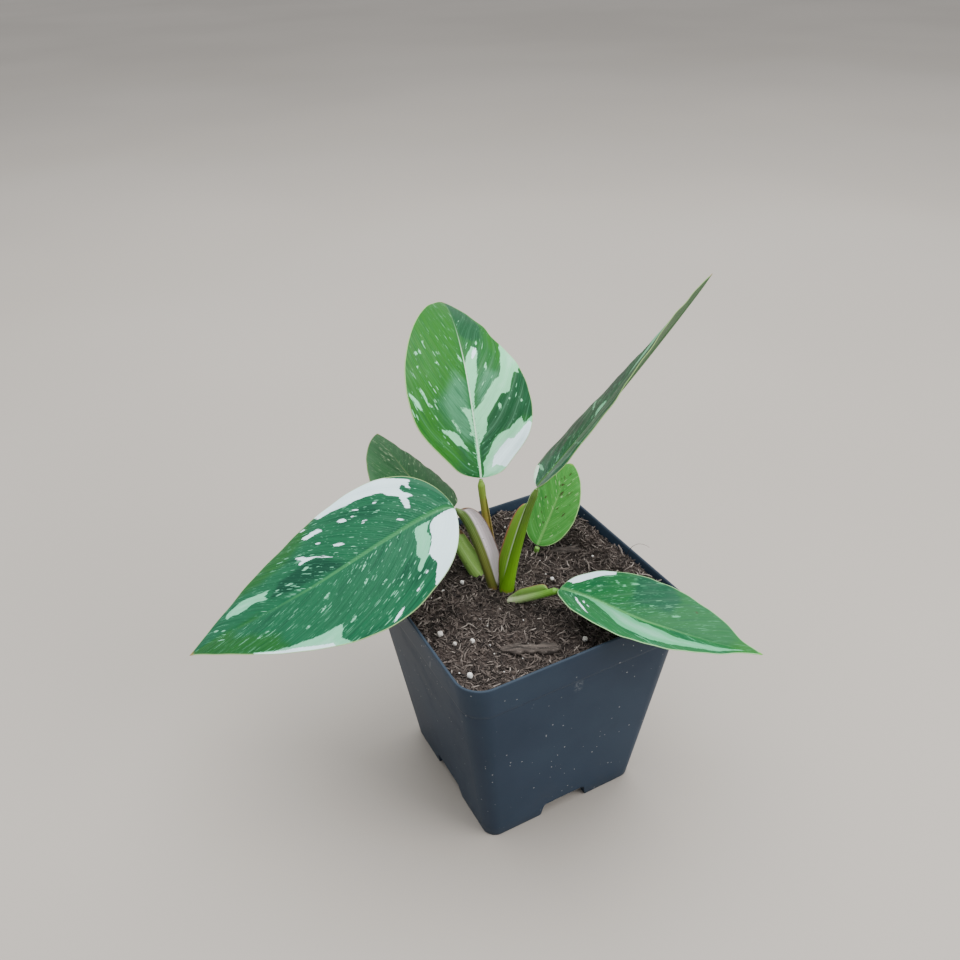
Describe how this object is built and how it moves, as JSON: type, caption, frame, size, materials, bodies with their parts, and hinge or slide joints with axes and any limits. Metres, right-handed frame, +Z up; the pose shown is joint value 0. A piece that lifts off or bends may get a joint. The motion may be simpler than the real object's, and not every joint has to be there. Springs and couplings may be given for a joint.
{
  "type": "potted philodendron",
  "caption": "Variegated philodendron with broad white-splashed leaves on sheathed stalks, growing in a square plastic nursery pot of soil.",
  "frame": {"origin": "centre of the whole plant's bounding box, on the plane that the pot stands on", "axes": "+Z up; the pot's sides run along X and Y; -Y is the side the two front leaves reach towards"},
  "size_m": [0.21, 0.1846, 0.2108],
  "materials": {
    "pot_plastic": "satin",
    "potting_soil": "matte",
    "crown_tissue": "matte",
    "left_leaf_stalk": "satin",
    "left_leaf_blade": "satin",
    "centre_leaf_stalk": "satin",
    "centre_leaf_blade": "satin",
    "tall_leaf_stalk": "satin",
    "tall_leaf_blade": "satin",
    "low_leaf_stalk": "satin",
    "low_leaf_blade": "satin",
    "back_leaf_stalk": "satin",
    "back_leaf_blade": "satin",
    "old_leaf_stalk": "satin",
    "old_leaf_blade": "satin",
    "perlite": "matte",
    "bark": "matte"
  },
  "bodies": {
    "root": {"pot": "pot_plastic", "soil": "potting_soil", "stem_crown": "crown_tissue", "left_leaf_stalk": "left_leaf_stalk", "left_leaf_blade": "left_leaf_blade", "centre_leaf_stalk": "centre_leaf_stalk", "centre_leaf_blade": "centre_leaf_blade", "tall_leaf_stalk": "tall_leaf_stalk", "tall_leaf_blade": "tall_leaf_blade", "low_leaf_stalk": "low_leaf_stalk", "low_leaf_blade": "low_leaf_blade", "back_leaf_stalk": "back_leaf_stalk", "back_leaf_blade": "back_leaf_blade", "old_leaf_stalk": "old_leaf_stalk", "old_leaf_blade": "old_leaf_blade", "perlite_grain_1": "perlite", "perlite_grain_2": "perlite", "perlite_grain_3": "perlite", "perlite_grain_4": "perlite", "perlite_grain_5": "perlite", "perlite_grain_6": "perlite", "perlite_grain_7": "perlite", "perlite_grain_8": "perlite", "perlite_grain_9": "perlite", "bark_chip_1": "bark", "bark_chip_2": "bark", "bark_chip_3": "bark"}
  },
  "joints": []
}
